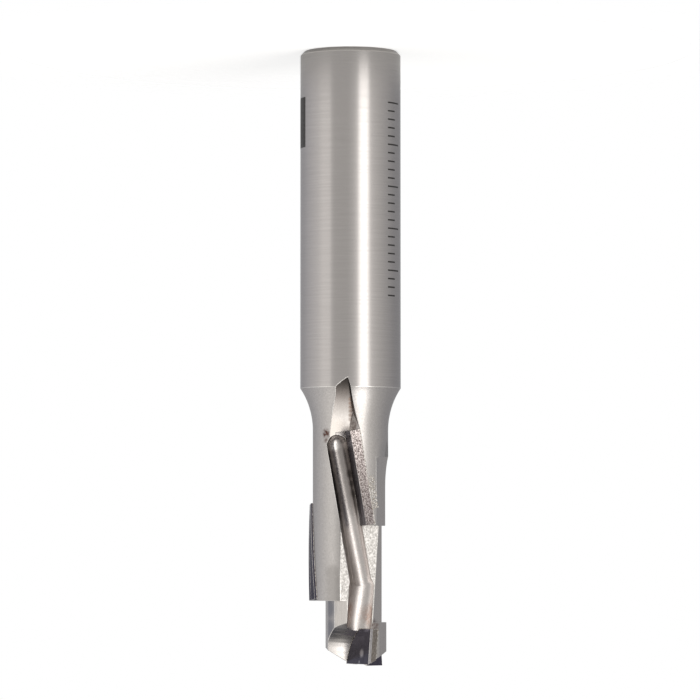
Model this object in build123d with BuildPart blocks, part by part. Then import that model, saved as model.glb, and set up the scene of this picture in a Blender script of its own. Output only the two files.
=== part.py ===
from build123d import *
from dataclasses import dataclass
from math import cos, radians, sin, sqrt, tan
import os

# Plunging compression router bit with four brazed diamond segments.
# The tool stands on the flat end of its shank: the origin is the centre of that end face, +Z runs
# along the tool axis towards the cutting tip, and azimuths are degrees about +Z from +X.
# Seen from the tip the tool turns anticlockwise, so each cutting face looks towards rising azimuth.
# All sizes are in millimetres and degrees.

# Shank, neck and body
shank_diameter = 12.0
shank_length = 40.4
shank_chamfer = 0.5
neck_radius = 9.0
body_diameter = 9.0
reach_length = 33.1
cutting_diameter = 10.0

# Layers of a segment and its clearance angles
diamond_thickness = 0.4
carbide_thickness = 0.8
braze_gap = 0.12
side_relief = 12.0
end_relief = 21.0
steel_standoff = 0.4

# Gullets, cut by a wheel that leaves an arc and then a ramp where it runs out
wheel_radius = 9.0
ramp_angle = 30.0
front_floor_distance = 2.93
front_floor_start = 0.8
front_wall_tilt = 16.5
front_bevel_azimuth = -47.0
front_bevel_distance = 2.42
face_clearance = 1.25

# Ball-nose groove in front of the upper segment, milled from the front of the tool.
# Each point is its place across the tool and its distance back from the tip plane.
groove_azimuth = -90.0
groove_floor_distance = 1.7
upper_groove_radius = 1.25
lower_groove_radius = 1.45
groove_top = (1.55, 26.2)
groove_bend = (-1.3, 9.5)
groove_end = (-0.95, 3.9)

# Scoop in front of the plunge tip
scoop_radius = 5.5
scoop_overlap = 0.55
scoop_drop = 0.3

# Steep clearance that takes off the end face behind the lower segment
heel_azimuth = 0.0
heel_slope = 31.8
heel_start = 0.22

# Step flats, each as its depth below the body surface
upper_relief_depth = 0.37
upper_relief_turn = -50.0
upper_relief_start = 3.5
front_step_depth = 0.68
side_step_depth = 0.8
side_step_azimuth = 180.0
facet_azimuth = -150.0
facet_depth = 0.1
facet_lean = 2.5
boss_length = 5.25
boss_relief_depth = 0.19
left_step_azimuths = (-28.0, -63.0)
left_step_depths = (1.26, 0.67)

# Segments: distance back from the tip plane, length along the tool and size from the edge inwards
upper_drop = 16.7
upper_length = 11.2
upper_height = 2.5
middle_drop = 7.8
middle_length = 11.4
middle_height = 2.2
lower_drop = 0.0
lower_length = 12.9
lower_height = 2.4
plunge_drop = 0.3
plunge_length = 4.2
plunge_height = 2.5

# How far a gullet's floor reaches beyond its segment before it rises
middle_lead_in = 1.2
lower_lead_in = 8.4

shank_radius = shank_diameter / 2
body_radius = body_diameter / 2
cutting_radius = cutting_diameter / 2
tip_height = shank_length + reach_length
steel_height = tip_height - steel_standoff
boss_height = tip_height - boss_length
bed_thickness = diamond_thickness + carbide_thickness
seat_thickness = bed_thickness + braze_gap
clear_radius = 1.2 * shank_radius
stock = 2 * shank_diameter


@dataclass
class Segment:
    """A brazed segment. Its azimuth is that of the middle of its edge, drop is measured back from
    the tip plane, shear is positive when it pushes chips towards the tip, hook turns its face about
    the middle of its edge, and height is its size from the edge inwards."""

    name: str
    azimuth: float
    drop: float
    length: float
    shear: float
    hook: float
    height: float
    lead_in: float = 0.0
    follows_scoop: bool = False
    cuts_at_end: bool = False

    @property
    def high(self):
        return tip_height - self.drop

    @property
    def low(self):
        return self.high - self.length

    @property
    def middle(self):
        return self.high - self.length / 2

    @property
    def half(self):
        return self.length / 2 / cos(radians(self.shear))

    @property
    def face_azimuth(self):
        return self.azimuth + self.hook

    @property
    def face_radius(self):
        return cutting_radius * cos(radians(self.hook))

    @property
    def root(self):
        return self.face_radius - self.height


upper = Segment(
    name="upper",
    azimuth=-100.85,
    drop=upper_drop,
    length=upper_length,
    shear=10.0,
    hook=-5.15,
    height=upper_height,
)
middle = Segment(
    name="middle",
    azimuth=0.85,
    drop=middle_drop,
    length=middle_length,
    shear=10.0,
    hook=-4.35,
    height=middle_height,
    lead_in=middle_lead_in,
)
lower = Segment(
    name="lower",
    azimuth=133.75,
    drop=lower_drop,
    length=lower_length,
    shear=-4.5,
    hook=5.25,
    height=lower_height,
    lead_in=lower_lead_in,
    cuts_at_end=True,
)
plunge = Segment(
    name="plunge",
    azimuth=-116.5,
    drop=plunge_drop,
    length=plunge_length,
    shear=-4.5,
    hook=-1.0,
    height=plunge_height,
    follows_scoop=True,
    cuts_at_end=True,
)
segments = [upper, middle, lower, plunge]


def outward(azimuth):
    return Vector(1, 0, 0).rotate(Axis.Z, azimuth)


def tilted_plane(point, azimuth, tilt):
    """Plane through a point: x outward, y towards the tip, z behind the cutting face."""
    facing = outward(azimuth + 90) * cos(radians(tilt)) + Vector(0, 0, sin(radians(tilt)))
    return Plane(origin=point, x_dir=outward(azimuth), z_dir=facing * -1)


def face_plane(segment):
    """Plane of a cutting face, with its origin at the middle of the edge."""
    edge_middle = outward(segment.azimuth) * cutting_radius + Vector(0, 0, segment.middle)
    return tilted_plane(edge_middle, segment.face_azimuth, segment.shear)


def radial_plane(azimuth):
    """Plane through the tool axis: x outward, y along the axis."""
    return Plane(origin=(0, 0, 0), x_dir=outward(azimuth), z_dir=outward(azimuth - 90))


def relieved_x(segment, along, back):
    """Where the relieved side of a segment lies in its plane, at a depth behind the face."""
    shear = radians(segment.shear)
    ahead = -cutting_radius * sin(radians(segment.hook)) - along * sin(shear) - back * cos(shear)
    radius = cutting_radius - back * tan(radians(side_relief))
    return sqrt(radius**2 - ahead**2) - segment.face_radius


def root_x(segment, along, gap):
    """Inner border of a seat in its plane, which for the plunge tip follows the scoop."""
    if not segment.follows_scoop:
        return -segment.height - gap
    across, centre = scoop_centre(segment)
    return across - sqrt((scoop_radius + gap) ** 2 - (along - centre) ** 2)


def scoop_centre(segment):
    """Centre of the scoop's arc in the plane of a segment."""
    across = scoop_radius - scoop_overlap - segment.face_radius
    along = (tip_height + scoop_drop - segment.middle) / cos(radians(segment.shear))
    return across, along


def seat_block(segment, thickness, gap):
    """Block that fills a seat from its face plane back, open past the body surface."""
    half = segment.half
    top, centre, end = [(root_x(segment, along, gap), along) for along in (-half, 0, half)]
    with BuildPart() as block:
        with BuildSketch(face_plane(segment)):
            with BuildLine():
                Polyline(top, (body_radius, -half), (body_radius, half), end)
                if segment.follows_scoop:
                    ThreePointArc(end, centre, top)
                else:
                    Line(end, top)
            make_face()
        extrude(amount=thickness)
    return block.part


def relief_envelope(segment):
    """Body whose outer side is the relieved side of a segment, from the edge back."""
    past_end = segment.half + face_clearance
    inner = -segment.face_radius - body_radius
    with BuildPart() as envelope:
        for back in (0, seat_thickness):
            with BuildSketch(face_plane(segment).offset(back)):
                arc = [(relieved_x(segment, along, back), along) for along in (-past_end, 0, past_end)]
                with BuildLine():
                    ThreePointArc(*arc)
                    Polyline(arc[2], (inner, past_end), (inner, -past_end), arc[0])
                make_face()
        loft()
    return envelope.part


def clearance_block(lip, azimuth, slope):
    """Everything past a plane through a lip that falls away towards an azimuth."""
    upright = Vector(0, 0, cos(radians(slope))) + outward(azimuth) * sin(radians(slope))
    with BuildPart() as block:
        with BuildSketch(Plane(origin=lip, x_dir=outward(azimuth + 90), z_dir=upright)):
            Rectangle(stock, stock)
        extrude(amount=stock)
    return block.part


def end_cutter(segment, height):
    """Clearance behind the end lip of a segment."""
    along = (height - segment.middle) / cos(radians(segment.shear))
    lip = face_plane(segment).from_local_coords((0, along, 0))
    with BuildPart() as cutter:
        add(clearance_block(lip, segment.face_azimuth - 90, end_relief))
        split(bisect_by=face_plane(segment), keep=Keep.TOP)
        if segment is plunge:
            split(bisect_by=face_plane(lower), keep=Keep.BOTTOM)
    return cutter.part


def run_out_block(azimuth, floor, start, end):
    """Block above a flat floor, which rises to the surface along the wheel's arc and a ramp."""
    with BuildPart() as block:
        with BuildSketch(radial_plane(azimuth)):
            with BuildLine():
                floor_line = Line((floor, end), (floor, start))
                rise = CenterArc((floor + wheel_radius, start), wheel_radius, 180, ramp_angle)
                ramp_top = rise @ 1
                ramp_drop = (clear_radius - ramp_top.X) / tan(radians(ramp_angle))
                ramp_end = (clear_radius, ramp_top.Y - ramp_drop)
                Polyline(ramp_top, ramp_end, (clear_radius, end), floor_line @ 0)
            make_face()
        extrude(amount=stock, both=True)
    return block.part


def gullet(segment):
    """Gullet ahead of a segment, flush with the root of its seat."""
    with BuildPart() as cutter:
        add(run_out_block(segment.face_azimuth, segment.root, segment.low - segment.lead_in, tip_height))
        split(bisect_by=face_plane(segment), keep=Keep.BOTTOM)
    return cutter.part


def front_gullet():
    """Short gullet above the upper segment, with a tilted wall and a bevel along its root."""
    groove_height = tip_height - groove_top[1]
    wall_foot = face_plane(upper).offset(seat_thickness).from_local_coords((0, -upper.half, 0))
    bevel = outward(front_bevel_azimuth)
    with BuildPart() as cutter:
        start = upper.low + front_floor_start
        add(run_out_block(upper.face_azimuth, front_floor_distance, start, groove_height))
        split(bisect_by=tilted_plane(wall_foot, upper.face_azimuth, front_wall_tilt), keep=Keep.BOTTOM)
        split(bisect_by=Plane(origin=bevel * front_bevel_distance, z_dir=bevel), keep=Keep.TOP)
    return cutter.part


def flat_block(azimuth, depth, low, high, lean=0):
    """Block outside a flat at a depth below the body surface, which a lean deepens to the tip."""
    facing = outward(azimuth) * cos(radians(lean)) + Vector(0, 0, sin(radians(lean)))
    foot = outward(azimuth) * (body_radius - depth) + Vector(0, 0, low)
    with BuildPart() as block:
        with Locations((0, 0, (low + high) / 2)):
            Box(stock, stock, high - low)
        split(bisect_by=Plane(origin=foot, z_dir=facing), keep=Keep.TOP)
    return block.part


def groove_leg(start, end, radius):
    """One straight run of the ball-nose groove, open to the front."""
    front = outward(groove_azimuth)
    origin = front * (groove_floor_distance + radius) + Vector(0, 0, tip_height)
    centre_plane = Plane(origin=origin, x_dir=outward(groove_azimuth + 90), z_dir=front)
    flat_ends = [(start[0], -start[1]), (end[0], -end[1])]
    ball_ends = [centre_plane.from_local_coords((*point, 0)) for point in flat_ends]
    run = ball_ends[1] - ball_ends[0]
    with BuildPart() as leg:
        with BuildSketch(centre_plane):
            with Locations(flat_ends):
                Circle(radius)
            make_hull()
        extrude(amount=stock)
        with Locations(ball_ends):
            Sphere(radius)
        with BuildSketch(Plane(origin=ball_ends[0], z_dir=run)):
            Circle(radius)
        extrude(amount=run.length)
    return leg.part


def face_opening():
    """Opening between the groove and the face of the upper segment."""
    with BuildPart() as opening:
        with BuildSketch(face_plane(upper)):
            with BuildLine():
                Polyline(
                    (-upper.height, -upper.half),
                    (body_radius, -upper.half),
                    (body_radius, upper.half),
                    (-upper.height, upper.half),
                    close=True,
                )
            make_face()
        extrude(amount=-face_clearance)
    return opening.part


def scoop():
    """Round scoop that opens the space ahead of the plunge tip."""
    with BuildPart() as cutter:
        with BuildSketch(face_plane(plunge)):
            with Locations(scoop_centre(plunge)):
                Circle(scoop_radius)
        extrude(amount=-stock)
    return cutter.part


heel_lip = outward(heel_azimuth) * heel_start + Vector(0, 0, steel_height)
cutters = [
    front_gullet(),
    gullet(middle),
    gullet(lower),
    groove_leg(groove_top, groove_bend, upper_groove_radius),
    groove_leg(groove_bend, groove_end, lower_groove_radius),
    face_opening(),
    scoop(),
    run_out_block(
        upper.face_azimuth + upper_relief_turn,
        body_radius - upper_relief_depth,
        upper.low + upper_relief_start,
        upper.high,
    ),
    flat_block(upper.face_azimuth, front_step_depth, upper.high, boss_height),
    flat_block(side_step_azimuth, side_step_depth, upper.high, boss_height),
    flat_block(facet_azimuth, facet_depth, upper.high, boss_height, facet_lean),
    flat_block(upper.face_azimuth + upper_relief_turn, boss_relief_depth, boss_height, tip_height),
    flat_block(middle.face_azimuth, body_radius - middle.root, middle.high, tip_height),
    *[
        flat_block(azimuth, depth, middle.high, tip_height)
        for azimuth, depth in zip(left_step_azimuths, left_step_depths)
    ],
    end_cutter(plunge, steel_height),
    end_cutter(lower, steel_height),
    clearance_block(heel_lip, heel_azimuth, heel_slope),
    *[seat_block(segment, seat_thickness, braze_gap) for segment in segments],
]

# Tool body: one piece of steel, turned and ground, then milled
neck_length = sqrt(neck_radius**2 - (neck_radius - (shank_radius - body_radius)) ** 2)
with BuildPart() as tool_body:
    with BuildSketch(Plane.XZ):
        with BuildLine():
            shank_edge = (shank_radius, shank_length)
            neck_end = (body_radius, shank_length + neck_length)
            Polyline(
                shank_edge,
                (shank_radius, shank_chamfer),
                (shank_radius - shank_chamfer, 0),
                (0, 0),
                (0, steel_height),
                (body_radius, steel_height),
                neck_end,
            )
            RadiusArc(neck_end, shank_edge, -neck_radius)
        make_face()
    revolve(axis=Axis.Z)
    for cutter in cutters:
        add(cutter, mode=Mode.SUBTRACT)
tool_body.part.label = "tool_body"

pieces = [tool_body.part]

# Segments: each blank is relieved behind its edge, then told apart into its layers
for segment in segments:
    bed = seat_block(segment, bed_thickness, 0)
    with BuildPart() as blank:
        add(seat_block(segment, seat_thickness, braze_gap))
        add(relief_envelope(segment), mode=Mode.INTERSECT)
        if segment.cuts_at_end:
            add(end_cutter(segment, segment.high), mode=Mode.SUBTRACT)
    joint_plane = face_plane(segment).offset(diamond_thickness)
    with BuildPart() as diamond:
        add(blank.part)
        add(bed, mode=Mode.INTERSECT)
        split(bisect_by=joint_plane, keep=Keep.BOTTOM)
    with BuildPart() as carbide:
        add(blank.part)
        add(bed, mode=Mode.INTERSECT)
        split(bisect_by=joint_plane, keep=Keep.TOP)
    with BuildPart() as braze:
        add(blank.part)
        add(bed, mode=Mode.SUBTRACT)
        with Locations((0, 0, tip_height / 2)):
            Cylinder(body_radius, tip_height, mode=Mode.INTERSECT)
    for layer, kind in ((diamond, "diamond"), (carbide, "carbide"), (braze, "braze")):
        layer.part.label = f"{kind}_{segment.name}"
        pieces.append(layer.part)

os.makedirs("parts", exist_ok=True)
for piece in pieces:
    export_step(piece, f"parts/{piece.label}.step")
    print(f"{piece.label:18} {len(piece.solids())} solid, {piece.volume:9.3f} mm3")
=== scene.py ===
from math import acos, asin, cos, degrees, hypot, pi, radians, sin, sqrt, tan

import bmesh
import bpy
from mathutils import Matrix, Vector


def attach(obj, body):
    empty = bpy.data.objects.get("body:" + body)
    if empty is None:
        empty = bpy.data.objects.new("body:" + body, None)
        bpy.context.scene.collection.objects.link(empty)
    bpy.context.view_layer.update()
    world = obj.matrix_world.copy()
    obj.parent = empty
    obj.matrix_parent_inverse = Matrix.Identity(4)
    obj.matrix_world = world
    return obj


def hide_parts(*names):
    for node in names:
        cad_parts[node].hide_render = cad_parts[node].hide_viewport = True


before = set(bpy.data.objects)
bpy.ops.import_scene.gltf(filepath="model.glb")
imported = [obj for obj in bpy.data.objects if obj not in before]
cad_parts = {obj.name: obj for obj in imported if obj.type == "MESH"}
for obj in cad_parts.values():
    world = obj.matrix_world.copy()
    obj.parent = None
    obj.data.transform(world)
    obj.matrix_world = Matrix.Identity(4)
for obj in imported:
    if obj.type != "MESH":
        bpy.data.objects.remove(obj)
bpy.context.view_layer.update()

bl_info = {
    "name": "Plunging compression router bit",
    "version": (1, 0, 0),
    "blender": (4, 5, 0),
    "location": "View3D > Sidebar > Router bit",
    "description": "Finishes a diamond router bit: ground steel, brazed segments, etched marks",
    "category": "Object",
}

MM = 0.001

# Sizes of the tool in millimetres. Heights run from the shank end to the tip, and the words upper,
# lower, left and right are meant as in the photograph, where the shank is up.
SHANK_RADIUS = 6.0
SHANK_LENGTH = 40.4
SHANK_CHAMFER = 0.5
BODY_RADIUS = 4.5
CUTTING_RADIUS = 5.0
TIP_HEIGHT = 73.5
NECK_RADIUS = 9.0
NECK_LENGTH = sqrt(NECK_RADIUS**2 - (NECK_RADIUS - SHANK_RADIUS + BODY_RADIUS) ** 2)

# Groove from the upper segment to the tip: the ends and the bend of its centre line, the radii of
# its two runs, the distance of its floor from the axis, and the plane behind its faces
GROOVE_START = (1.55, TIP_HEIGHT - 26.2)
GROOVE_BEND = (-1.3, TIP_HEIGHT - 9.5)
GROOVE_END = (-0.95, TIP_HEIGHT - 3.9)
GROOVE_RADII = (1.25, 1.45)
GROOVE_FLOOR = 1.7
GROOVE_SIDE = -1.0
# How far its normals lean: to the front in its second run, as its worn walls do, and to the side
# at its bend, where the cutter rolled over
SHALLOWNESS = 0.25
BEND_LEAN = 0.35

# Short gullet above the upper segment: where its floor faces and how far it lies from the axis, the
# height at which the wheel starts to rise, the wheel's radius, and the angle of the ramp it leaves
FRONT_GULLET = {"azimuth": -106.0, "floor": 2.93, "start": 46.4, "wheel": 9.0, "ramp": 30.0}
# Radius that the wheel's sweep shows to the light where it runs out of the short gullet
WHEEL_SWEEP = 10.6
# Burr along that gullet's left border
GULLET_BURR = {"low": 39.25, "high": 45.9, "steps": 24, "unevenness": 0.2}
# Step flat: the way it faces, within a cosine, and the heights between which its faces lie
STEP_FLAT = {"azimuth": -106.0, "cosine": 0.9, "low": 56.8, "high": 68.3}
# Scoop ahead of the plunge tip: where it starts, the way it opens, and how far its hollow ground
# wall turns that way from its left border, in millimetres and as shares
SCOOP = {"low": 68.2, "opens": -27.5, "left": 2.4, "width": 1.7, "lean": 0.15}

# Brazed segments: azimuth and hook in degrees, distance of their ends from the tip, and shear
SEGMENTS = {
    "upper": {"azimuth": -100.85, "hook": -5.15, "drop": 16.7, "length": 11.2, "shear": 10.0},
    "middle": {"azimuth": 0.85, "hook": -4.35, "drop": 7.8, "length": 11.4, "shear": 10.0},
    "lower": {"azimuth": 133.75, "hook": 5.25, "drop": 0.0, "length": 12.9, "shear": -4.5},
    "plunge": {"azimuth": -116.5, "hook": -1.0, "drop": 0.3, "length": 4.2, "shear": -4.5},
}
# Finish of each layer's faces, where the middle base was lapped together with its diamond
DIAMOND_FACES = dict.fromkeys(SEGMENTS, "lapped_diamond")
CARBIDE_FACES = {**dict.fromkeys(SEGMENTS, "sintered_carbide"), "middle": "lapped_diamond"}
# Finish of the outer side of those layers that wire erosion left pale
DIAMOND_LANDS = {"upper": "eroded_land", "plunge": "fine_eroded_edge"}
CARBIDE_LANDS = {"upper": "eroded_land"}

# Braze seam: its distance behind a segment's face, where it ends, and the steps of its line
SEAM_DEPTH = 1.26
SEAM_TOP = TIP_HEIGHT - 1.0
SEAM_STEPS = 40
# Size of each segment's braze bead as a share of the full one
BEAD_SHARES = {"upper": 1.0, "middle": 0.35, "lower": 0.6, "plunge": 1.7}
# Lumps of a bead: the share of one that a step of its line takes, and the noise levels they span
LUMP_STEP = 0.25
LUMP_NOISE = (0.3, 0.7)
# Patch of braze drops: shares of the upper segment's half length, and distances behind its face
DROP_ROWS = (0.0, 0.35, 0.7)
DROP_BACKS = (1.35, 1.75, 2.15)

# Marks: azimuth in degrees at which their bars start, height of the first bar, and its sizes
DEPTH_MARKS = {"azimuth": -138, "first": 6.5}
ETCHED_FIELD = {"azimuth": -26, "first": 8.7, "length": 5.0, "height": 6.0}
MARK_THICKNESS = 0.012
MARK_VERTICES = 14
LONG_MARK_EVERY = 5

# Faces of the mesh are told by where they lie, in millimetres, and by how their normals point: a
# cosine for those that point the same way or to the same side, a sine for upright and sideways ones
NEAR = 0.03
GROOVE_NEAR = 0.05
SAME_WAY = 0.95
SAME_SIDE = 0.7
UPRIGHT = 0.03
SIDEWAYS = 0.15
MERGE_DISTANCE = 0.002
FLAT_WITHIN = radians(0.3)
SHARP_EDGE = radians(24)
SEGMENT_EDGE = 0.02


# Colours and materials


def linear(colour):
    """Linear colour with alpha from an sRGB hex value."""
    parts = [int(colour[at : at + 2], 16) / 255 for at in (1, 3, 5)]
    return [p / 12.92 if p <= 0.04045 else ((p + 0.055) / 1.055) ** 2.4 for p in parts] + [1.0]


def add_node(tree, kind, inputs=(), **settings):
    """Adds a node, sets it up and fills its inputs, each told by its name or its place. A node that
    is given as an input is linked by its first output."""
    node = tree.nodes.new(kind)
    for name, value in settings.items():
        setattr(node, name, value)
    for key, value in dict(inputs).items():
        if isinstance(value, bpy.types.Node):
            value = value.outputs[0]
        if isinstance(value, bpy.types.NodeSocket):
            tree.links.new(value, node.inputs[key])
        else:
            node.inputs[key].default_value = value
    return node


def new_material(name):
    """A new material with nodes."""
    material = bpy.data.materials.new(name)
    material.use_nodes = True
    return material


# Share of a patch's radius in which it has its full strength
PATCH_CORE = 0.3
# Edge of a stain: rags per metre, and the noise levels between which it thins out to a share
STAIN_RAGS = {"scale": 2600.0, "low": 0.35, "high": 0.55, "thinnest": 0.3}
# The rings left by cylindrical grinding blur a reflection across them
RING_GLOSS = {"Anisotropic": 0.6, "Anisotropic Rotation": 0.25}


def patch_mask(tree, place, patches):
    """Soft patches round points in millimetres, each with its radius and strength."""
    total = None
    for x, y, z, radius, strength in patches:
        away = add_node(
            tree,
            "ShaderNodeVectorMath",
            {0: place, 1: (x * MM, y * MM, z * MM)},
            operation="DISTANCE",
        )
        reach = {1: radius * MM, 2: PATCH_CORE * radius * MM, 3: 0.0, 4: strength}
        patch = add_node(
            tree,
            "ShaderNodeMapRange",
            {0: away.outputs["Value"], **reach},
            interpolation_type="SMOOTHSTEP",
        )
        if total is None:
            total = patch
        else:
            total = add_node(tree, "ShaderNodeMath", {0: total, 1: patch}, operation="MAXIMUM")
    return total


def metal(
    name,
    colour,
    tint,
    roughness,
    grain,
    depth,
    stretch=(1, 1, 1),
    spread=0.3,
    edge=0.2,
    turned=False,
    stains=None,
    painted_light=None,
):
    """Metal whose surface has a grain of one size in millimetres, stretched by the way it was cut.

    The grain mixes the colour with a tint over an edge, spreads the roughness by a share and is a
    depth in millimetres high. Stains are ragged patches of another colour; soft patches of painted
    shade, painted highlights and painted reflections are laid on as well.
    """
    tree = new_material(name).node_tree
    shader = tree.nodes["Principled BSDF"]
    place = add_node(tree, "ShaderNodeTexCoord").outputs["Object"]
    scale = [1 / (grain * MM * side) for side in stretch]
    mapped = add_node(tree, "ShaderNodeMapping", {0: place, "Scale": scale})
    fine = add_node(tree, "ShaderNodeTexNoise", {0: mapped, "Scale": 1.0, "Detail": 3.0})
    mask = add_node(tree, "ShaderNodeMapRange", {0: fine, 1: 0.5 - edge, 2: 0.5 + edge})
    layers = [(mask, tint)]
    if stains:
        ragged = add_node(
            tree, "ShaderNodeTexNoise", {0: place, "Scale": STAIN_RAGS["scale"], "Detail": 4.0}
        )
        thins = {1: STAIN_RAGS["low"], 2: STAIN_RAGS["high"], 3: STAIN_RAGS["thinnest"]}
        uneven = add_node(tree, "ShaderNodeMapRange", {0: ragged, **thins})
    for tinge, patches in (stains or {}).items():
        amount = add_node(
            tree,
            "ShaderNodeMath",
            {0: patch_mask(tree, place, patches), 1: uneven},
            operation="MULTIPLY",
        )
        layers.append((amount, tinge))
    # Soft patches of painted shade, painted highlights and painted reflections
    for tinge, patches in (painted_light or {}).items():
        layers.append((patch_mask(tree, place, patches), tinge))
    for amount, tinge in layers:
        colour = add_node(
            tree, "ShaderNodeMix", {0: amount, 6: colour, 7: linear(tinge)}, data_type="RGBA"
        ).outputs[2]
    rough = add_node(
        tree,
        "ShaderNodeMapRange",
        {0: fine, 3: roughness * (1 - spread), 4: roughness * (1 + spread)},
    )
    bump = add_node(tree, "ShaderNodeBump", {"Height": fine, "Distance": depth * MM})
    shader.inputs["Metallic"].default_value = 1.0
    tree.links.new(colour, shader.inputs["Base Color"])
    tree.links.new(rough.outputs[0], shader.inputs["Roughness"])
    tree.links.new(bump.outputs[0], shader.inputs["Normal"])
    if turned:
        for socket, amount in RING_GLOSS.items():
            shader.inputs[socket].default_value = amount
        rings = add_node(tree, "ShaderNodeTangent", direction_type="RADIAL", axis="Z")
        tree.links.new(rings.outputs[0], shader.inputs["Tangent"])


# Heat stains of the brazing by their colour, each a point in millimetres, a radius and a strength
HEAT_STAINS = {
    "#5A3C34": (
        (2.9, -3.4, 45.9, 0.8, 1.0),
        (2.9, -3.4, 46.7, 0.5, 0.7),
        (-2.63, -3.2, 68.6, 1.1, 0.8),
    ),
    "#6A5A52": (
        (-0.5, -3.6, 45.0, 0.9, 0.7),
        (0.9, -3.4, 45.2, 1.2, 0.3),
        (0.6, -3.2, 68.4, 0.7, 0.5),
    ),
}
GROOVE_STAINS = {"#B09282": ((-2.2, -2.4, 67.4, 1.8, 0.6), (-0.2, -2.6, 66.5, 0.8, 0.5))}
# Painted shade: the land beside the middle segment darkens towards its end, standing for a facet
# that the mesh does not have
LAND_PAINTED_SHADE = {
    "#A5A19E": (
        (2.2, -4.0, 62.4, 1.4, 0.7),
        (2.0, -4.0, 63.4, 1.5, 0.7),
        (2.0, -4.0, 64.5, 1.5, 0.7),
        (2.0, -4.0, 65.6, 1.5, 0.7),
    ),
}
# Painted shade: the short gullet darkens towards its point and along its wall, and a little at its
# foot. The facet beside the middle segment darkens to a cool grey where it ends, and the wall of
# the scoop to a warm grey.
WHEEL_PAINTED_SHADE = {
    "#382F29": ((0.3, -5.7, 38.6, 8.0, 0.86),),
    "#6A5A50": (
        (0.0, -4.3, 41.8, 0.4, 0.8),
        (-0.02, -4.05, 42.3, 0.4, 0.8),
        (-0.04, -3.85, 42.75, 0.4, 0.8),
        (-0.04, -3.65, 43.2, 0.4, 0.75),
        (-0.02, -3.5, 43.7, 0.4, 0.7),
        (0.0, -3.3, 44.2, 0.4, 0.6),
    ),
    "#B8B2AC": ((2.0, -3.65, 45.3, 1.8, 0.8),),
    "#8B8B91": ((2.5, -2.1, 66.6, 2.0, 0.9), (2.5, -2.1, 69.0, 2.0, 0.9)),
    "#A09A96": ((1.6, -2.6, 70.4, 1.5, 0.6), (0.6, -2.8, 70.6, 1.3, 0.6)),
}
# Painted light in the groove: painted shade greys its first half, with a darker line, a painted
# highlight brightens it where the cutter went in, and a band of painted dark reflection of the
# diamond face beside it runs down its wall: each patch lies 0.6 mm further down and 0.1 mm further
# left than the one before, and the last ones are weaker.
BAND_PATCHES = 17
GROOVE_PAINTED_LIGHT = {
    "#928C89": ((1.3, -2.4, 48.5, 5.0, 0.7), (0.7, -2.4, 52.5, 4.5, 0.7)),
    "#4A4441": (
        (0.1, -2.2, 50.6, 0.8, 0.7),
        (-0.05, -2.3, 51.8, 0.65, 0.7),
        (-0.25, -2.4, 53.0, 0.85, 0.7),
    ),
    "#F4F0EC": ((1.9, -1.8, 47.35, 0.8, 0.9),),
    "#2A2625": [
        (2.6 - 0.1 * i, -2.8, 48.4 + 0.6 * i, min(0.9 + 0.035 * i, 1.3), min(0.9, 2.55 - 0.15 * i))
        for i in range(BAND_PATCHES)
    ],
}
# Painted reflections: two pale spots on the rake of the plunge tip
RAKE_PAINTED_REFLECTIONS = {"#C2BFC5": ((-1.4, -2.82, 71.9, 0.66, 0.8), (-1.15, -2.4, 72.95, 0.3, 0.8))}


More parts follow.
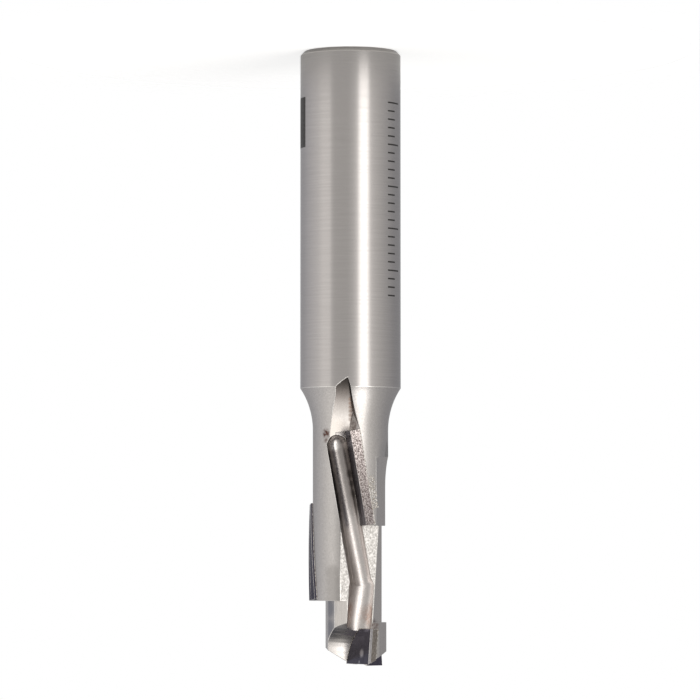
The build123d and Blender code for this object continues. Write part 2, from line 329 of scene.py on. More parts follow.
def make_materials():
    """Every finish of the tool. The rings, scratches, tooth and grains are really 0.005 to 0.05 mm
    wide, too fine to show, so they are drawn coarser, one to three pixels of the picture wide."""
    settings = bpy.context.scene.router_bit
    # Hardened steel, cylindrically ground: fine rings that blur reflections along the axis only
    metal(
        "ground_steel", settings.shank_colour, "#BCB8B6",
        roughness=0.18, grain=0.17, depth=0.0003, stretch=(30, 30, 1), turned=True,
    )
    # The same steel turned and then blasted: satin, with an even fine tooth
    metal(
        "satin_steel", settings.neck_colour, "#BBB7B4",
        roughness=0.3, grain=0.15, depth=0.003, stains=HEAT_STAINS, painted_light=LAND_PAINTED_SHADE,
    )
    # Gullets and flats cut by a grinding wheel: fine scratches along the cut
    metal(
        "wheel_ground_steel", settings.gullet_colour, "#C8C3BF",
        roughness=0.27, grain=0.12, depth=0.0004, stretch=(1, 1, 14), spread=0.15,
        stains=HEAT_STAINS, painted_light=WHEEL_PAINTED_SHADE,
    )
    # Ball-nose milled groove, tinted bronze by the heat of brazing
    metal(
        "milled_groove_steel", linear("#DED9D6"), "#CAC4C1",
        roughness=0.3, grain=0.12, depth=0.001, stretch=(1.5, 1.5, 1), stains=GROOVE_STAINS,
        painted_light=GROOVE_PAINTED_LIGHT,
    )
    # Step flat left rough by a coarse cutter: many small bright facets
    metal(
        "rough_milled_steel", linear("#D3D0CD"), "#A19E9A",
        roughness=0.42, grain=0.16, depth=0.012, stretch=(1, 1, 1.4), spread=0.4, edge=0.16,
    )
    # Edges that deburring has rubbed bright, painted paler still as a painted highlight along the
    # eased edges and the burr
    metal("burnished_edge_highlight", linear("#ECE9E6"), "#D6D2CE", roughness=0.25, grain=0.2, depth=0.001)
    # Polycrystalline diamond, lapped: nearly black with a violet cast
    metal(
        "lapped_diamond", settings.diamond_colour, "#44414D",
        roughness=0.22, grain=0.4, depth=0.001, painted_light=RAKE_PAINTED_REFLECTIONS,
    )
    # Diamond and carbide lands after wire erosion: coarse sparkling pits
    metal(
        "eroded_land", linear("#DCD2CF"), "#6E6361",
        roughness=0.36, grain=0.13, depth=0.03, spread=0.6, edge=0.08,
    )
    # The diamond edge of the plunge tip, wire eroded finer: an even pale grey
    metal(
        "fine_eroded_edge", linear("#D9D5D5"), "#ABA7A7",
        roughness=0.34, grain=0.12, depth=0.006, edge=0.14,
    )
    # Tungsten carbide, sintered and ground: brown-grey and finely granular
    metal(
        "sintered_carbide", settings.carbide_colour, "#736C65",
        roughness=0.36, grain=0.15, depth=0.006, edge=0.15,
    )
    # Silver braze alloy, frozen from the melt: pale, lumpy and bright
    metal(
        "silver_braze", settings.braze_colour, "#A79E93",
        roughness=0.22, grain=0.16, depth=0.03, spread=0.6, edge=0.08,
    )
    # Laser-annealed marks: a thin dark oxide
    metal("laser_mark", settings.mark_colour, "#43413F", roughness=0.4, grain=0.2, depth=0.001)


def finishes():
    """The materials by their names, made at the first call."""
    if "ground_steel" not in bpy.data.materials:
        make_materials()
    return bpy.data.materials


# Shapes


def clamped(share):
    """A share held between none and all."""
    return min(max(share, 0), 1)


def outward(azimuth):
    """Level direction away from the axis at an azimuth in degrees."""
    return Vector((cos(radians(azimuth)), sin(radians(azimuth)), 0))


def segment_point(name, along, back, radius):
    """Point at a radius on a segment's plane, in millimetres along its edge and behind its face."""
    part = SEGMENTS[name]
    shear, hook = radians(part["shear"]), radians(part["hook"])
    ahead = -CUTTING_RADIUS * sin(hook) - along * sin(shear) - back * cos(shear)
    face = part["azimuth"] + part["hook"]
    across = sqrt(radius**2 - ahead**2)
    middle = TIP_HEIGHT - part["drop"] - part["length"] / 2
    height = middle + along * cos(shear) - back * sin(shear)
    return outward(face) * across + outward(face + 90) * ahead + Vector((0, 0, height))


def nearest_on_run(point, start, end):
    """The point of a straight run that is nearest to a point."""
    run, offset = end - start, point - start
    return start + run * clamped(offset.dot(run) / run.length_squared)


def groove_runs():
    """The two straight runs of the groove's centre line, with their radii."""
    for start, end, radius in (
        (GROOVE_START, GROOVE_BEND, GROOVE_RADII[0]),
        (GROOVE_BEND, GROOVE_END, GROOVE_RADII[1]),
    ):
        depth = -(GROOVE_FLOOR + radius)
        yield Vector((start[0], depth, start[1])), Vector((end[0], depth, end[1])), radius


def in_groove(middle):
    """Whether a point in millimetres lies in the groove, seen from the front."""
    for start, end, radius in groove_runs():
        level = Vector((middle.x, start.y, middle.z))
        if (level - nearest_on_run(level, start, end)).length < radius + NEAR:
            return middle.y < GROOVE_SIDE
    return False


def neck_arc(height):
    """Radius of the neck at a height, and how far its surface turns towards the tip."""
    below = SHANK_LENGTH + NECK_LENGTH - height
    lean = asin(clamped(below / NECK_RADIUS))
    return BODY_RADIUS + NECK_RADIUS * (1 - cos(lean)), lean


def gullet_floor(height):
    """Distance of the short gullet's floor from the axis: flat, then an arc and a ramp."""
    angle = radians(FRONT_GULLET["ramp"])
    wheel = FRONT_GULLET["wheel"]
    below = max(FRONT_GULLET["start"] - height, 0)
    arc = min(below, wheel * sin(angle))
    rise = wheel - sqrt(wheel**2 - arc**2)
    return FRONT_GULLET["floor"] + rise + (below - arc) * tan(angle)


def body_finish(face):
    """Finish of a face of the tool body, from where it lies."""
    points = [vert.co / MM for vert in face.verts]
    middle = face.calc_center_median() / MM
    radii = [hypot(p.x, p.y) for p in points]
    top = max(p.z for p in points)
    if top < SHANK_CHAMFER + NEAR:
        return "ground_steel"
    if top < SHANK_LENGTH + NEAR and min(radii) > SHANK_RADIUS - NEAR:
        return "ground_steel"
    if all(abs(neck_arc(p.z)[0] - r) < NEAR for p, r in zip(points, radii)):
        return "satin_steel"
    if in_groove(middle):
        return "milled_groove_steel"
    on_step = STEP_FLAT["low"] < middle.z < STEP_FLAT["high"]
    if on_step and face.normal.dot(outward(STEP_FLAT["azimuth"])) > STEP_FLAT["cosine"]:
        return "rough_milled_steel"
    return "wheel_ground_steel"


def layer_finish(faces, land=None):
    """Finishes of a segment's layer: one on its faces, and another on a pale outer side."""

    def finish(face):
        middle = face.calc_center_median()
        radial = Vector((middle.x, middle.y, 0)).normalized()
        return land if land and face.normal.dot(radial) > SAME_SIDE else faces

    return finish


def true_normal(finish, point, fallback):
    """Normal of the turned, ground or milled surface that a mesh corner stands for."""
    if abs(fallback.z) > SAME_WAY:
        return fallback
    side = Vector((point.x, point.y, 0)).normalized()
    if finish == "ground_steel" and abs(fallback.z) < SIDEWAYS:
        return side
    if finish == "satin_steel":
        lean = neck_arc(point.z)[1]
        return side * cos(lean) + Vector((0, 0, sin(lean)))
    if finish == "wheel_ground_steel":
        return wheel_normal(point, fallback)
    if finish == "milled_groove_steel":
        return groove_normal(point, fallback)
    return fallback


def wheel_normal(point, fallback):
    """Normal of a wheel ground face, with the sweep of the short gullet and the scoop's hollow."""
    floor_way, opens = outward(FRONT_GULLET["azimuth"]), outward(SCOOP["opens"])
    if point.z < FRONT_GULLET["start"] + NEAR and fallback.z > -UPRIGHT:
        level = Vector((fallback.x, fallback.y, 0)).normalized()
        if level.dot(floor_way) > SAME_WAY:
            lean = asin(clamped((FRONT_GULLET["start"] - point.z) / WHEEL_SWEEP))
            return floor_way * cos(lean) + Vector((0, 0, sin(lean)))
    on_scoop = point.z > SCOOP["low"] and fallback.z > UPRIGHT
    if on_scoop and abs(fallback.dot(opens)) < SIDEWAYS:
        share = clamped((SCOOP["left"] - point.x) / SCOOP["width"])
        return (fallback + opens * SCOOP["lean"] * share).normalized()
    return fallback


def groove_normal(point, fallback):
    """Normal of the round groove, with the lean of its worn second run and of its bend."""
    nearest = None
    for start, end, radius in groove_runs():
        centre = nearest_on_run(point, start, end)
        if point.y < start.y:
            centre.y = point.y
        error = abs((centre - point).length - radius)
        if nearest is None or error < nearest[0]:
            nearest = (error, centre, start.z > GROOVE_START[1])
    error, centre, is_second = nearest
    if is_second:
        near_bend = (GROOVE_END[1] - point.z) / (GROOVE_END[1] - GROOVE_BEND[1])
    else:
        near_bend = (point.z - GROOVE_START[1]) / (GROOVE_BEND[1] - GROOVE_START[1])
    lean = Vector((-BEND_LEAN * clamped(near_bend), -SHALLOWNESS if is_second else 0, 0))
    normal = ((centre - point).normalized() + lean).normalized()
    if error < GROOVE_NEAR and normal.dot(fallback) > SAME_SIDE:
        return normal
    return fallback


def follow_true_surface(mesh, names):
    """Gives a mesh the normals of the true round surfaces, so their reflections stay smooth."""
    normals = [Vector(corner.vector) for corner in mesh.corner_normals]
    for face in mesh.polygons:
        finish = names[face.material_index]
        if finish == "burnished_edge_highlight":
            continue
        for corner in face.loop_indices:
            point = mesh.vertices[mesh.loops[corner].vertex_index].co / MM
            normals[corner] = true_normal(finish, point, face.normal)
    mesh.normals_split_custom_set(normals)


def linked(name, data):
    """A new object with its data, linked to the scene."""
    item = bpy.data.objects.new(name, data)
    bpy.context.scene.collection.objects.link(item)
    return item


def mesh_object(name, shape):
    """A new object from a shape, which is freed."""
    mesh = bpy.data.meshes.new(name)
    shape.to_mesh(mesh)
    shape.free()
    return linked(name, mesh)


def plain_mesh(piece):
    """What the modifiers of a piece make of it, as a plain mesh."""
    ready = piece.evaluated_get(bpy.context.evaluated_depsgraph_get())
    return bpy.data.meshes.new_from_object(ready)


def dress(node, piece_name, finish, edge_width):
    """A finished copy of a CAD node: edges eased, and each face in the finish it was made with."""
    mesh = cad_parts[node].data.copy()
    mesh.name = piece_name
    mesh.materials.clear()
    piece = linked(piece_name, mesh)
    shape = bmesh.new()
    shape.from_mesh(mesh)
    bmesh.ops.remove_doubles(shape, verts=shape.verts, dist=MERGE_DISTANCE * MM)
    bmesh.ops.dissolve_limit(
        shape,
        angle_limit=FLAT_WITHIN,
        verts=shape.verts,
        edges=shape.edges,
        use_dissolve_boundaries=False,
    )
    names = []
    for face in shape.faces:
        kind = finish(face)
        if kind not in names:
            names.append(kind)
        face.material_index = names.index(kind)
        face.smooth = True
    weight = shape.edges.layers.float.new("bevel_weight_edge")
    for edge in shape.edges:
        if len(edge.link_faces) == 2:
            turn = edge.calc_face_angle_signed(0)
            edge[weight] = 1.0 if turn > SHARP_EDGE else 0.0
            edge.smooth = abs(turn) < SHARP_EDGE
    shape.to_mesh(mesh)
    shape.free()
    if edge_width:
        names.append("burnished_edge_highlight")
    for kind in names:
        mesh.materials.append(finishes()[kind])
    if edge_width:
        easing = piece.modifiers.new("eased_edges", "BEVEL")
        easing.limit_method = "WEIGHT"
        easing.width = edge_width
        easing.segments = 2
        easing.use_clamp_overlap = False
        # The eased edges take the pale burnished finish, partly a painted highlight
        easing.material = names.index("burnished_edge_highlight")
        mesh = plain_mesh(piece)
        piece.modifiers.clear()
        piece.data = mesh
        mesh.name = piece_name
    follow_true_surface(mesh, names)
    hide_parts(node)
    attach(piece, "root")


def finish_piece(piece, tree, inputs):
    """Runs a node tree on a piece, keeps its result as a plain mesh and sets it on its body."""
    grown = piece.modifiers.new(tree.name, "NODES")
    grown.node_group = tree
    sockets = {item.name: item.identifier for item in tree.interface.items_tree}
    for label, value in inputs.items():
        grown[sockets[label]] = value
    mesh, name = plain_mesh(piece), piece.name
    bpy.data.objects.remove(piece)
    made = linked(name, mesh)
    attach(made, "root")


SOCKETS = {float: "NodeSocketFloat", int: "NodeSocketInt", type(None): "NodeSocketMaterial"}


def new_tree(name, inputs):
    """Empty geometry node tree with named inputs and their defaults, where None is a material."""
    tree = bpy.data.node_groups.new(name, "GeometryNodeTree")
    tree.interface.new_socket("Geometry", in_out="INPUT", socket_type="NodeSocketGeometry")
    for label, default in inputs.items():
        kind = SOCKETS[type(default)]
        socket = tree.interface.new_socket(label, in_out="INPUT", socket_type=kind)
        if default is not None:
            socket.default_value = default
    tree.interface.new_socket("Geometry", in_out="OUTPUT", socket_type="NodeSocketGeometry")
    return tree, add_node(tree, "NodeGroupInput").outputs


def end_tree(tree, geometry, material):
    """Closes a tree: instances made real, the material set and the result handed out."""
    real = add_node(tree, "GeometryNodeRealizeInstances", {0: geometry})
    painted = add_node(tree, "GeometryNodeSetMaterial", {0: real, "Material": material})
    add_node(tree, "NodeGroupOutput", {0: painted})


def bead_tree():
    """A lumpy bead of metal that follows a line: braze along a seat, or a burr along an edge."""
    if "bead_along_line" in bpy.data.node_groups:
        return bpy.data.node_groups["bead_along_line"]
    tree, given = new_tree(
        "bead_along_line",
        {"Radius": 0.06 * MM, "Unevenness": 0.5, "Lump size": 0.3 * MM, "Material": None},
    )
    step = add_node(
        tree, "ShaderNodeMath", {0: given["Lump size"], 1: LUMP_STEP}, operation="MULTIPLY"
    )
    line = add_node(
        tree,
        "GeometryNodeResampleCurve",
        {"Curve": given["Geometry"], "Length": step},
        mode="LENGTH",
    )
    place = add_node(tree, "GeometryNodeInputPosition")
    often = add_node(tree, "ShaderNodeMath", {0: 1.0, 1: given["Lump size"]}, operation="DIVIDE")
    lumps = add_node(tree, "ShaderNodeTexNoise", {0: place, "Scale": often})
    low = add_node(tree, "ShaderNodeMath", {0: 1.0, 1: given["Unevenness"]}, operation="SUBTRACT")
    high = add_node(tree, "ShaderNodeMath", {0: 1.0, 1: given["Unevenness"]}, operation="ADD")
    flat, full = LUMP_NOISE
    swell = add_node(tree, "ShaderNodeMapRange", {0: lumps, 1: flat, 2: full, 3: low, 4: high})
    thick = add_node(tree, "ShaderNodeMath", {0: swell, 1: given["Radius"]}, operation="MULTIPLY")
    sized = add_node(tree, "GeometryNodeSetCurveRadius", {0: line, "Radius": thick})
    ring = add_node(tree, "GeometryNodeCurvePrimitiveCircle", {"Resolution": 8, "Radius": 1.0})
    tube = add_node(
        tree,
        "GeometryNodeCurveToMesh",
        {"Curve": sized, "Profile Curve": ring, "Scale": thick, "Fill Caps": True},
    )
    smooth = add_node(tree, "GeometryNodeSetShadeSmooth", {0: tube})
    end_tree(tree, smooth, given["Material"])
    return tree


def marks_tree():
    """Plain marks wrapped round the shank: bars set out along the axis, some of them longer."""
    if "marks_round_shank" in bpy.data.node_groups:
        return bpy.data.node_groups["marks_round_shank"]
    tree, given = new_tree(
        "marks_round_shank",
        {
            "Count": 24,
            "Spacing": 1.0 * MM,
            "First height": DEPTH_MARKS["first"] * MM,
            "Azimuth": radians(DEPTH_MARKS["azimuth"]),
            "Long bar": 2.4 * MM,
            "Short bar": 1.4 * MM,
            "Bar width": 0.18 * MM,
            "Surface radius": SHANK_RADIUS * MM,
            "Material": None,
        },
    )
    start = add_node(tree, "ShaderNodeCombineXYZ", {2: given["First height"]})
    stride = add_node(tree, "ShaderNodeCombineXYZ", {2: given["Spacing"]})
    row = add_node(
        tree,
        "GeometryNodeMeshLine",
        {"Count": given["Count"], "Start Location": start, "Offset": stride},
    )
    index = add_node(tree, "GeometryNodeInputIndex")
    since_long = add_node(
        tree, "ShaderNodeMath", {0: index, 1: LONG_MARK_EVERY}, operation="MODULO"
    )
    is_long = add_node(tree, "ShaderNodeMath", {0: since_long, 1: 0.5}, operation="LESS_THAN")
    length = add_node(
        tree, "ShaderNodeMix", {0: is_long, 2: given["Short bar"], 3: given["Long bar"]}
    )
    size = add_node(tree, "ShaderNodeCombineXYZ", {0: length, 1: 1.0, 2: given["Bar width"]})
    bar = add_node(
        tree,
        "GeometryNodeMeshCube",
        {
            "Size": (1.0, MARK_THICKNESS * MM, 1.0),
            "Vertices X": MARK_VERTICES,
            "Vertices Y": 2,
            "Vertices Z": 2,
        },
    )
    from_start = add_node(tree, "GeometryNodeTransform", {0: bar, "Translation": (0.5, 0.0, 0.0)})
    bars = add_node(
        tree, "GeometryNodeInstanceOnPoints", {"Points": row, "Instance": from_start, "Scale": size}
    )
    real = add_node(tree, "GeometryNodeRealizeInstances", {0: bars})
    place = add_node(tree, "GeometryNodeInputPosition")
    parts = add_node(tree, "ShaderNodeSeparateXYZ", {0: place})
    radius = add_node(
        tree, "ShaderNodeMath", {0: given["Surface radius"], 1: parts.outputs["Y"]}, operation="ADD"
    )
    arc = add_node(
        tree,
        "ShaderNodeMath",
        {0: parts.outputs["X"], 1: given["Surface radius"]},
        operation="DIVIDE",
    )
    turn = add_node(tree, "ShaderNodeMath", {0: given["Azimuth"], 1: arc}, operation="SUBTRACT")
    cosine = add_node(tree, "ShaderNodeMath", {0: turn}, operation="COSINE")
    sine = add_node(tree, "ShaderNodeMath", {0: turn}, operation="SINE")
    across = add_node(tree, "ShaderNodeMath", {0: cosine, 1: radius}, operation="MULTIPLY")
    deep = add_node(tree, "ShaderNodeMath", {0: sine, 1: radius}, operation="MULTIPLY")
    wrapped = add_node(tree, "ShaderNodeCombineXYZ", {0: across, 1: deep, 2: parts.outputs["Z"]})
    laid = add_node(tree, "GeometryNodeSetPosition", {0: real, "Position": wrapped})
    end_tree(tree, laid, given["Material"])
    return tree


def spatter_tree():
    """Small frozen drops of braze strewn over a patch."""
    if "braze_drops" in bpy.data.node_groups:
        return bpy.data.node_groups["braze_drops"]
    tree, given = new_tree(
        "braze_drops",
        {
            "Drops per square metre": 7.0e7,
            "Smallest": 0.02 * MM,
            "Largest": 0.08 * MM,
            "Seed": 7,
            "Material": None,
        },
    )
    spots = add_node(
        tree,
        "GeometryNodeDistributePointsOnFaces",
        {0: given["Geometry"], "Density": given["Drops per square metre"], "Seed": given["Seed"]},
    )
    size = add_node(
        tree,
        "FunctionNodeRandomValue",
        {2: given["Smallest"], 3: given["Largest"], "Seed": given["Seed"]},
        data_type="FLOAT",
    )
    drop = add_node(tree, "GeometryNodeMeshIcoSphere", {"Radius": 1.0, "Subdivisions": 2})
    drops = add_node(
        tree,
        "GeometryNodeInstanceOnPoints",
        {"Points": spots, "Instance": drop, "Scale": size.outputs[1]},
    )
    real = add_node(tree, "GeometryNodeRealizeInstances", {0: drops})
    smooth = add_node(tree, "GeometryNodeSetShadeSmooth", {0: real})
    end_tree(tree, smooth, given["Material"])
    return tree


def line_object(name, points):
    """A curve through points in millimetres."""
    curve = bpy.data.curves.new(name, "CURVE")
    curve.dimensions = "3D"
    spline = curve.splines.new("POLY")
    spline.points.add(len(points) - 1)
    for spot, point in zip(spline.points, points):
        spot.co = (*(point * MM), 1)
    return linked(name, curve)


def seam_line(name):
    """Line of the braze seam behind a segment, on the surface of the body."""
    half = SEGMENTS[name]["length"] / 2 / cos(radians(SEGMENTS[name]["shear"]))
    alongs = [half * (2 * i / SEAM_STEPS - 1) for i in range(SEAM_STEPS + 1)]
    points = [segment_point(name, along, SEAM_DEPTH, BODY_RADIUS) for along in alongs]
    return [point for point in points if point.z < SEAM_TOP]


def gullet_edge():
    """Left border of the short gullet, from its point to the upper segment."""
    low, high, steps = GULLET_BURR["low"], GULLET_BURR["high"], GULLET_BURR["steps"]
    points = []
    for i in range(steps + 1):
        height = low + i * (high - low) / steps
        radius = SHANK_RADIUS if height < SHANK_LENGTH else neck_arc(height)[0]
        half_turn = degrees(acos(min(gullet_floor(height) / radius, 1)))
        edge = outward(FRONT_GULLET["azimuth"] + half_turn) * radius
        points.append(edge + Vector((0, 0, height)))
    return points


def drops_patch():
    """Patch of the body beside the upper segment that carries the drops of braze."""
    half = SEGMENTS["upper"]["length"] / 2
    shape = bmesh.new()
    rows = []
    for along in DROP_ROWS:
        spots = [segment_point("upper", along * half, back, BODY_RADIUS) for back in DROP_BACKS]
        rows.append([shape.verts.new(spot * MM) for spot in spots])
    for low, high in zip(rows, rows[1:]):
        for i in range(len(DROP_BACKS) - 1):
            shape.faces.new((low[i], low[i + 1], high[i + 1], high[i]))
    return mesh_object("braze_drops", shape)


# Settings and operators


class RouterBitSettings(bpy.types.PropertyGroup):
    """Sizes and colours that a user of the part may change."""

    edge_width: bpy.props.FloatProperty(
        name="Eased edge",
        description="Width of the eased steel edges",
        default=0.05 * MM,
        min=0,
        precision=5,
        unit="LENGTH",
        subtype="DISTANCE",
    )
    bead_radius: bpy.props.FloatProperty(
        name="Braze bead",
        description="Radius of the braze along a seat",
        default=0.075 * MM,
        min=0,
        precision=5,
        unit="LENGTH",
        subtype="DISTANCE",
    )
    burr_radius: bpy.props.FloatProperty(
        name="Burr",
        description="Radius of the burr along the short gullet",
        default=0.05 * MM,
        min=0,
        precision=5,
        unit="LENGTH",
        subtype="DISTANCE",
    )
    mark_count: bpy.props.IntProperty(
        name="Number of marks",
        description="Number of depth marks on the shank",
        default=24,
        min=1,
    )
    mark_spacing: bpy.props.FloatProperty(
        name="Mark spacing",
        description="Distance between depth marks",
        default=1.0 * MM,
        min=0,
        precision=5,
        unit="LENGTH",
        subtype="DISTANCE",
    )
    shank_colour: bpy.props.FloatVectorProperty(
        name="Shank",
        description="Colour of the ground steel",
        default=linear("#C2BEBC"),
        size=4,
        subtype="COLOR",
    )
    neck_colour: bpy.props.FloatVectorProperty(
        name="Neck",
        description="Colour of the blasted steel",
        default=linear("#CFCBC8"),
        size=4,
        subtype="COLOR",
    )
    gullet_colour: bpy.props.FloatVectorProperty(
        name="Gullets",
        description="Colour of the wheel ground steel",
        default=linear("#D2CDC9"),
        size=4,
        subtype="COLOR",
    )
    diamond_colour: bpy.props.FloatVectorProperty(
        name="Diamond",
        description="Colour of the lapped diamond",
        default=linear("#565360"),
        size=4,
        subtype="COLOR",
    )
    carbide_colour: bpy.props.FloatVectorProperty(
        name="Carbide",
        description="Colour of the carbide bases",
        default=linear("#A8A098"),
        size=4,
        subtype="COLOR",
    )
    braze_colour: bpy.props.FloatVectorProperty(
        name="Braze",
        description="Colour of the braze alloy",
        default=linear("#FAF7F2"),
        size=4,
        subtype="COLOR",
    )
    mark_colour: bpy.props.FloatVectorProperty(
        name="Marks",
        description="Colour of the laser marks",
        default=linear("#565452"),
        size=4,
        subtype="COLOR",
    )


class ROUTERBIT_OT_dress_body(bpy.types.Operator):
    """Finish the tool body"""

    bl_idname = "routerbit.dress_body"
    bl_label = "Tool body"

    def execute(self, context):
        edge_width = context.scene.router_bit.edge_width
        dress("tool_body", "steel_tool_body", body_finish, edge_width)
        return {"FINISHED"}


class ROUTERBIT_OT_dress_segments(bpy.types.Operator):
    """Finish the diamond, carbide and braze of every segment"""

    bl_idname = "routerbit.dress_segments"
    bl_label = "Segments"

    def execute(self, context):
        edge_width = SEGMENT_EDGE * MM
        for name in SEGMENTS:
            diamond = layer_finish(DIAMOND_FACES[name], DIAMOND_LANDS.get(name))
            carbide = layer_finish(CARBIDE_FACES[name], CARBIDE_LANDS.get(name))
            braze = layer_finish("silver_braze")
            dress(f"diamond_{name}", f"diamond_layer_{name}", diamond, edge_width)
            dress(f"carbide_{name}", f"carbide_base_{name}", carbide, edge_width)
            dress(f"braze_{name}", f"braze_seam_{name}", braze, 0)
        return {"FINISHED"}


class ROUTERBIT_OT_lay_braze(bpy.types.Operator):
    """Lay the frozen bead of braze behind every segment, and its drops beside the upper one"""

    bl_idname = "routerbit.lay_braze"
    bl_label = "Braze beads"

    def execute(self, context):
        braze = finishes()["silver_braze"]
        for name, share in BEAD_SHARES.items():
            seam = line_object(f"braze_bead_{name}", seam_line(name))
            radius = share * context.scene.router_bit.bead_radius
            finish_piece(seam, bead_tree(), {"Radius": radius, "Material": braze})
        finish_piece(drops_patch(), spatter_tree(), {"Material": braze})
        return {"FINISHED"}


class ROUTERBIT_OT_raise_burr(bpy.types.Operator):
    """Raise the fine burr that the wheel leaves along the short gullet"""

    bl_idname = "routerbit.raise_burr"
    bl_label = "Gullet burr"

    def execute(self, context):
        # The burr takes the pale burnished finish, partly a painted highlight
        inputs = {
            "Radius": context.scene.router_bit.burr_radius,
            "Unevenness": GULLET_BURR["unevenness"],
            "Material": finishes()["burnished_edge_highlight"],
        }
        finish_piece(line_object("gullet_burr", gullet_edge()), bead_tree(), inputs)
        return {"FINISHED"}


class ROUTERBIT_OT_etch_marks(bpy.types.Operator):
    """Etch the plain depth marks and the plain field on the shank"""

    bl_idname = "routerbit.etch_marks"
    bl_label = "Etched marks"

    def execute(self, context):
        settings = context.scene.router_bit
        marks = {
            "depth_marks": {"Count": settings.mark_count, "Spacing": settings.mark_spacing},
            "etched_field": {
                "Count": 1,
                "First height": ETCHED_FIELD["first"] * MM,
                "Azimuth": radians(ETCHED_FIELD["azimuth"]),
                "Long bar": -ETCHED_FIELD["length"] * MM,
                "Bar width": ETCHED_FIELD["height"] * MM,
            },
        }
        for name, inputs in marks.items():
            start = linked(name, bpy.data.meshes.new(name))
            inputs["Material"] = finishes()["laser_mark"]
            finish_piece(start, marks_tree(), inputs)
        return {"FINISHED"}


class ROUTERBIT_OT_build_stage(bpy.types.Operator):
    """Build the floor, the studio tent, the lamp and the camera"""

    bl_idname = "routerbit.build_stage"
    bl_label = "Stage"

    def execute(self, context):
        build_floor()
        build_tent()
        build_softbox()
        build_world()
        build_camera()
        context.scene.view_settings.view_transform = "Standard"
        return {"FINISHED"}


# Stage

# Board under the tool: its radius in metres, the shares of it between which it fades, its glow for
# the camera, and the share of that glow that polished steel sees, which would wash out at all of it
FLOOR_RADIUS = 0.055
FLOOR_FADE = (0.35, 0.95)
BOARD_GLOW = 0.62
MIRRORED_GLOW = 0.2
# Tent round the tool: its radius in metres, the shares of it in height between which it dims, what
# is left there, and the angles from the camera between which it turns cooler
TENT_RADIUS = 1.6
TENT_CROWN = (0.82, 0.97)
CROWN_LIGHT = 0.3
COOL_SIDES = (1.2, 2.2)
# Brightness of the tent, by the angle in degrees from the camera towards its right hand
TENT_PROFILE = [
    (-180, 0.42), (-142, 0.48), (-116, 0.64), (-97, 0.74), (-81, 0.83), (-66, 1.0), (-49, 1.0),
    (-43, 0.72), (-36, 0.62), (-20, 0.6), (-6, 0.6), (6, 0.73), (14, 0.95), (20, 1.25),
    (40, 1.25), (48, 0.94), (58, 0.77), (72, 0.65), (86, 0.56), (115, 0.42), (150, 0.36),
    (180, 0.42),
]
# Brightness that a full colour of the profile's ramp stands for
TENT_TOP = 2.0
# Brighter panels on the tent: angle to the right, angle up and radius across, in degrees
TENT_PANELS = ((31, -28, 17), (31, -16, 17), (31, -4, 17), (31, 8, 18), (32, 20, 20), (33, 32, 24))
PANEL_LIGHT = 1.1
# Softbox that lights the neck: its place and size in degrees as the tool sees it, its brightness,
# its distance in metres, and the height in millimetres at which it aims
SOFTBOX = {"turn": 36, "rise": 50, "width": 26, "height": 20, "light": 1.5}
SOFTBOX_DISTANCE = 0.9
SOFTBOX_AIM = 40.0
# Camera: lens and sensor in millimetres, where it stands and where it looks
CAMERA = {"lens": 215.4, "sensor": 36.0, "eye": (0.06, -500.0, 60.5), "aim": (0.06, 0.0, 35.8)}


def build_floor():
    """A matt white board that fades out before its rim, so it joins the white background."""
    shape = bmesh.new()
    bmesh.ops.create_circle(shape, cap_ends=True, radius=FLOOR_RADIUS, segments=96)
    floor = mesh_object("studio_floor", shape)
    # Painted board, matt and nearly white: it takes a soft shadow and shows no reflection
    material = new_material("matt_white_board")
    tree = material.node_tree
    tree.nodes.remove(tree.nodes["Principled BSDF"])
    place = add_node(tree, "ShaderNodeTexCoord")
    distance = add_node(
        tree, "ShaderNodeVectorMath", {0: place.outputs["Object"]}, operation="LENGTH"
    )
    starts, ends = (FLOOR_RADIUS * share for share in FLOOR_FADE)
    fade = add_node(tree, "ShaderNodeMapRange", {0: distance.outputs["Value"], 1: starts, 2: ends})
    ray = add_node(tree, "ShaderNodeLightPath")
    seen = add_node(
        tree,
        "ShaderNodeMath",
        {0: ray.outputs["Is Camera Ray"], 1: ray.outputs["Is Transmission Ray"]},
        operation="MAXIMUM",
    )
    mirrored = add_node(
        tree,
        "ShaderNodeMath",
        {0: ray.outputs["Is Glossy Ray"], 1: MIRRORED_GLOW},
        operation="MULTIPLY",
    )
    shown = add_node(tree, "ShaderNodeMath", {0: seen, 1: mirrored}, operation="MAXIMUM")
    lift = add_node(tree, "ShaderNodeMath", {0: shown, 1: BOARD_GLOW}, operation="MULTIPLY")
    board = add_node(tree, "ShaderNodeBsdfDiffuse", {0: linear("#D2D2D0")})
    glow = add_node(tree, "ShaderNodeEmission", {0: linear("#FFFFFF"), 1: lift})
    lit = add_node(tree, "ShaderNodeAddShader", {0: board, 1: glow})
    clear = add_node(tree, "ShaderNodeBsdfTransparent")
    mixed = add_node(tree, "ShaderNodeMixShader", {0: fade, 1: lit, 2: clear})
    tree.links.new(mixed.outputs[0], tree.nodes["Material Output"].inputs["Surface"])
    floor.data.materials.append(material)


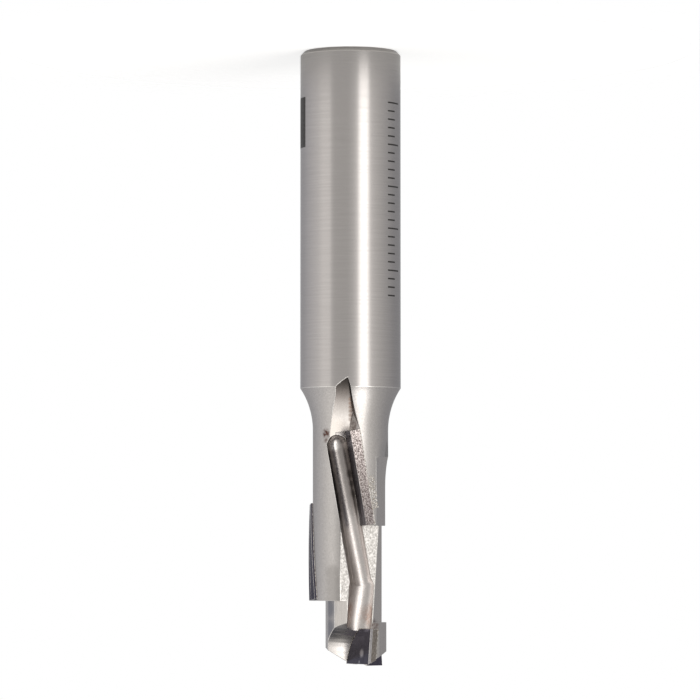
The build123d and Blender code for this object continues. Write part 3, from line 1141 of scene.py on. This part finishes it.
def build_tent():
    """A round tent of lit cloth, seen by the metal but not by the camera."""
    shape = bmesh.new()
    bmesh.ops.create_uvsphere(shape, u_segments=96, v_segments=48, radius=TENT_RADIUS)
    tent = mesh_object("studio_tent", shape)
    # White cloth lit from outside: an even glow, brightest beside the camera
    material = new_material("lit_tent_cloth")
    tree = material.node_tree
    tree.nodes.remove(tree.nodes["Principled BSDF"])
    place = add_node(tree, "ShaderNodeTexCoord").outputs["Object"]
    parts = add_node(tree, "ShaderNodeSeparateXYZ", {0: place})
    side = add_node(tree, "ShaderNodeMath", {0: parts.outputs["X"], 1: -1.0}, operation="MULTIPLY")
    ahead = add_node(tree, "ShaderNodeMath", {0: parts.outputs["Y"], 1: -1.0}, operation="MULTIPLY")
    angle = add_node(tree, "ShaderNodeMath", {0: side, 1: ahead}, operation="ARCTAN2")
    share = add_node(tree, "ShaderNodeMapRange", {0: angle, 1: -pi, 2: pi})
    ramp = add_node(tree, "ShaderNodeValToRGB", {0: share})
    stops = ramp.color_ramp.elements
    while len(stops) < len(TENT_PROFILE):
        stops.new(0.5)
    for stop, (turn, level) in zip(stops, TENT_PROFILE):
        stop.position = (turn + 180) / 360
        stop.color = (level / TENT_TOP, level / TENT_TOP, level / TENT_TOP, 1)
    starts, ends = (TENT_RADIUS * part for part in TENT_CROWN)
    crown = add_node(
        tree,
        "ShaderNodeMapRange",
        {0: parts.outputs["Z"], 1: starts, 2: ends, 3: 1.0, 4: CROWN_LIGHT},
        interpolation_type="SMOOTHSTEP",
    )
    panels = []
    for turn, rise, across in TENT_PANELS:
        toward = facing(turn, rise) * TENT_RADIUS / MM
        reach = 2 * sin(radians(across / 2)) * TENT_RADIUS / MM
        panels.append((*toward, reach, PANEL_LIGHT))
    cloth = add_node(tree, "ShaderNodeMath", {0: ramp, 1: TENT_TOP}, operation="MULTIPLY")
    lit = add_node(
        tree, "ShaderNodeMath", {0: cloth, 1: patch_mask(tree, place, panels)}, operation="ADD"
    )
    strength = add_node(tree, "ShaderNodeMath", {0: lit, 1: crown}, operation="MULTIPLY")
    aside = add_node(tree, "ShaderNodeMath", {0: angle}, operation="ABSOLUTE")
    cool = add_node(tree, "ShaderNodeMapRange", {0: aside, 1: COOL_SIDES[0], 2: COOL_SIDES[1]})
    tone = add_node(
        tree,
        "ShaderNodeMix",
        {0: cool, 6: linear("#FFFDFA"), 7: linear("#F8F8FC")},
        data_type="RGBA",
    )
    glow = add_node(tree, "ShaderNodeEmission", {"Color": tone.outputs[2], "Strength": strength})
    tree.links.new(glow.outputs[0], tree.nodes["Material Output"].inputs["Surface"])
    tent.data.materials.append(material)
    tent.visible_camera = False
    tent.visible_shadow = False


def facing(turn, rise):
    """Direction at an angle to the camera's right hand and an angle up, in degrees."""
    level = cos(radians(rise))
    return Vector((-sin(radians(turn)) * level, -cos(radians(turn)) * level, sin(radians(rise))))


def build_softbox():
    """A flat softbox aimed at the neck."""
    light = bpy.data.lights.new("neck_softbox", "AREA")
    light.shape = "RECTANGLE"
    light.size = 2 * SOFTBOX_DISTANCE * tan(radians(SOFTBOX["width"] / 2))
    light.size_y = 2 * SOFTBOX_DISTANCE * tan(radians(SOFTBOX["height"] / 2))
    light.energy = SOFTBOX["light"] * pi * light.size * light.size_y
    lamp = linked("neck_softbox", light)
    toward = facing(SOFTBOX["turn"], SOFTBOX["rise"])
    lamp.location = toward * SOFTBOX_DISTANCE + Vector((0, 0, SOFTBOX_AIM * MM))
    lamp.rotation_euler = toward.to_track_quat("Z", "Y").to_euler()
    lamp.visible_camera = False


def build_world():
    """A plain white background."""
    world = bpy.data.worlds.new("white_background")
    world.use_nodes = True
    background = world.node_tree.nodes["Background"]
    background.inputs["Color"].default_value = linear("#FFFFFF")
    background.inputs["Strength"].default_value = 1.0
    bpy.context.scene.world = world


def build_camera():
    """Camera at the photograph's angle, with the shank upwards in the picture."""
    data = bpy.data.cameras.new("photo_camera")
    data.lens = CAMERA["lens"]
    data.sensor_width = CAMERA["sensor"]
    data.clip_start = 0.01
    data.clip_end = 10.0
    camera = linked("photo_camera", data)
    eye, aim = Vector(CAMERA["eye"]) * MM, Vector(CAMERA["aim"]) * MM
    camera.location = eye
    camera.rotation_euler = (aim - eye).to_track_quat("-Z", "Y").to_euler()
    camera.rotation_euler.rotate_axis("Z", pi)
    bpy.context.scene.camera = camera


STEPS = (
    ROUTERBIT_OT_dress_body,
    ROUTERBIT_OT_dress_segments,
    ROUTERBIT_OT_lay_braze,
    ROUTERBIT_OT_raise_burr,
    ROUTERBIT_OT_etch_marks,
    ROUTERBIT_OT_build_stage,
)


class ROUTERBIT_PT_panel(bpy.types.Panel):
    """Lists the steps that make the router bit"""

    bl_label = "Router bit"
    bl_space_type = "VIEW_3D"
    bl_region_type = "UI"
    bl_category = "Router bit"

    def draw(self, context):
        for name in RouterBitSettings.__annotations__:
            self.layout.prop(context.scene.router_bit, name)
        for step in STEPS:
            self.layout.operator(step.bl_idname)


CLASSES = (RouterBitSettings, *STEPS, ROUTERBIT_PT_panel)


def register():
    """Makes the settings, the operators and the panel known to Blender."""
    for kind in CLASSES:
        bpy.utils.register_class(kind)
    bpy.types.Scene.router_bit = bpy.props.PointerProperty(type=RouterBitSettings)


def unregister():
    """Takes them away again."""
    del bpy.types.Scene.router_bit
    for kind in reversed(CLASSES):
        bpy.utils.unregister_class(kind)


def main():
    """Runs every step."""
    register()
    bpy.ops.routerbit.dress_body()
    bpy.ops.routerbit.dress_segments()
    bpy.ops.routerbit.lay_braze()
    bpy.ops.routerbit.raise_burr()
    bpy.ops.routerbit.etch_marks()
    bpy.ops.routerbit.build_stage()


if __name__ == "__main__":
    main()
